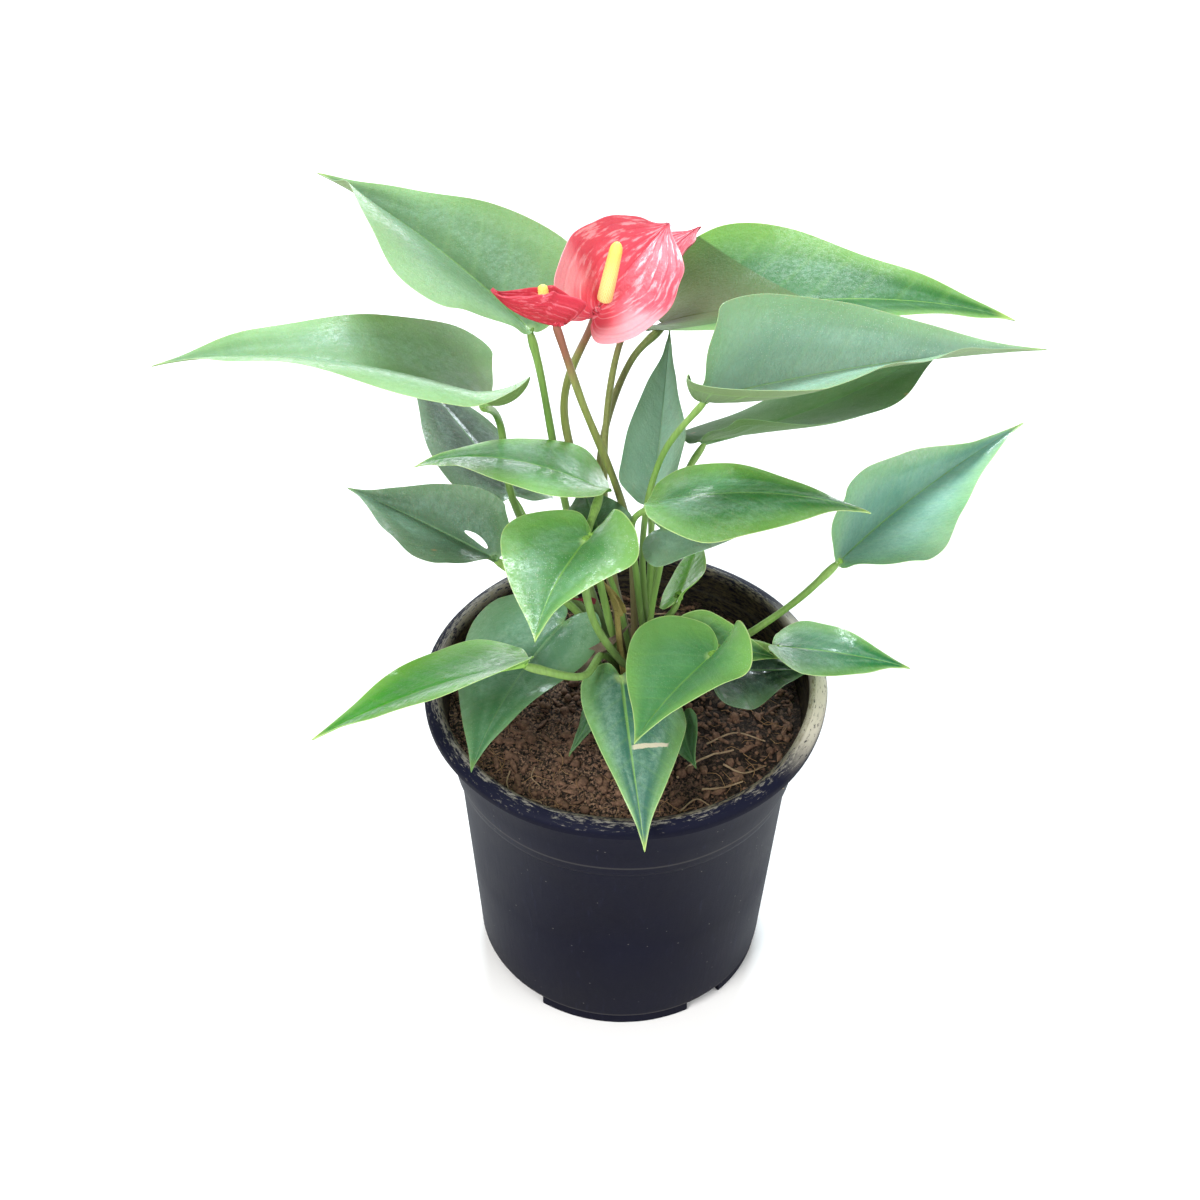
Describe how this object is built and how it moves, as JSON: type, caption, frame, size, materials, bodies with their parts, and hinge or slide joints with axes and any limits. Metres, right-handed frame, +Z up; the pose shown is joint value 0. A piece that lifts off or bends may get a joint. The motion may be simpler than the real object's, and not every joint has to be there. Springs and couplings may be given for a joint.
{
  "type": "potted anthurium",
  "caption": "Flamingo flower plant in a dark round nursery pot: a clump of heart-shaped leaves on long stalks with red spathes and pale spadices.",
  "frame": {"origin": "centre of the pot's underside, on the surface that it stands on", "axes": "+Z up along the pot's axis, -Y towards the plant's front, +X to the right seen from the front"},
  "size_m": [0.3293, 0.2389, 0.3066],
  "materials": {
    "pot_plastic": "satin",
    "potting_mix": "matte",
    "crown": "matte",
    "leaf": "satin",
    "petiole": "satin",
    "spathe": "gloss",
    "peduncle": "satin",
    "spadix": "satin"
  },
  "bodies": {
    "root": {"pot": "pot_plastic", "potting_mix": "potting_mix", "crown": "crown", "blade_rear_left_high": "leaf", "petiole_rear_left_high": "petiole", "blade_left_high": "leaf", "petiole_left_high": "petiole", "blade_left_behind": "leaf", "petiole_left_behind": "petiole", "blade_left_middle": "leaf", "petiole_left_middle": "petiole", "blade_left_low": "leaf", "petiole_left_low": "petiole", "blade_front_left_heart": "leaf", "petiole_front_left_heart": "petiole", "blade_over_soil_left": "leaf", "petiole_over_soil_left": "petiole", "blade_lower_left": "leaf", "petiole_lower_left": "petiole", "blade_front_over_rim": "leaf", "petiole_front_over_rim": "petiole", "blade_front_heart": "leaf", "petiole_front_heart": "petiole", "blade_behind_heart": "leaf", "petiole_behind_heart": "petiole", "blade_right_low": "leaf", "petiole_right_low": "petiole", "blade_on_soil_right": "leaf", "petiole_on_soil_right": "petiole", "blade_right_long": "leaf", "petiole_right_long": "petiole", "blade_right_middle": "leaf", "petiole_right_middle": "petiole", "blade_upright_young": "leaf", "petiole_upright_young": "petiole", "blade_right_under": "leaf", "petiole_right_under": "petiole", "blade_right_high": "leaf", "petiole_right_high": "petiole", "blade_rear_right_high": "leaf", "petiole_rear_right_high": "petiole", "blade_right_shaded": "leaf", "petiole_right_shaded": "petiole", "blade_unfolding": "leaf", "petiole_unfolding": "petiole", "blade_small_front_right": "leaf", "petiole_small_front_right": "petiole", "blade_small_front_left": "leaf", "petiole_small_front_left": "petiole", "blade_small_centre": "leaf", "petiole_small_centre": "petiole", "spathe_main": "spathe", "peduncle_main": "peduncle", "spadix_main": "spadix", "spathe_cup": "spathe", "peduncle_cup": "peduncle", "spadix_cup": "spadix", "spathe_rear": "spathe", "peduncle_rear": "peduncle", "spadix_rear": "spadix"}
  },
  "joints": []
}
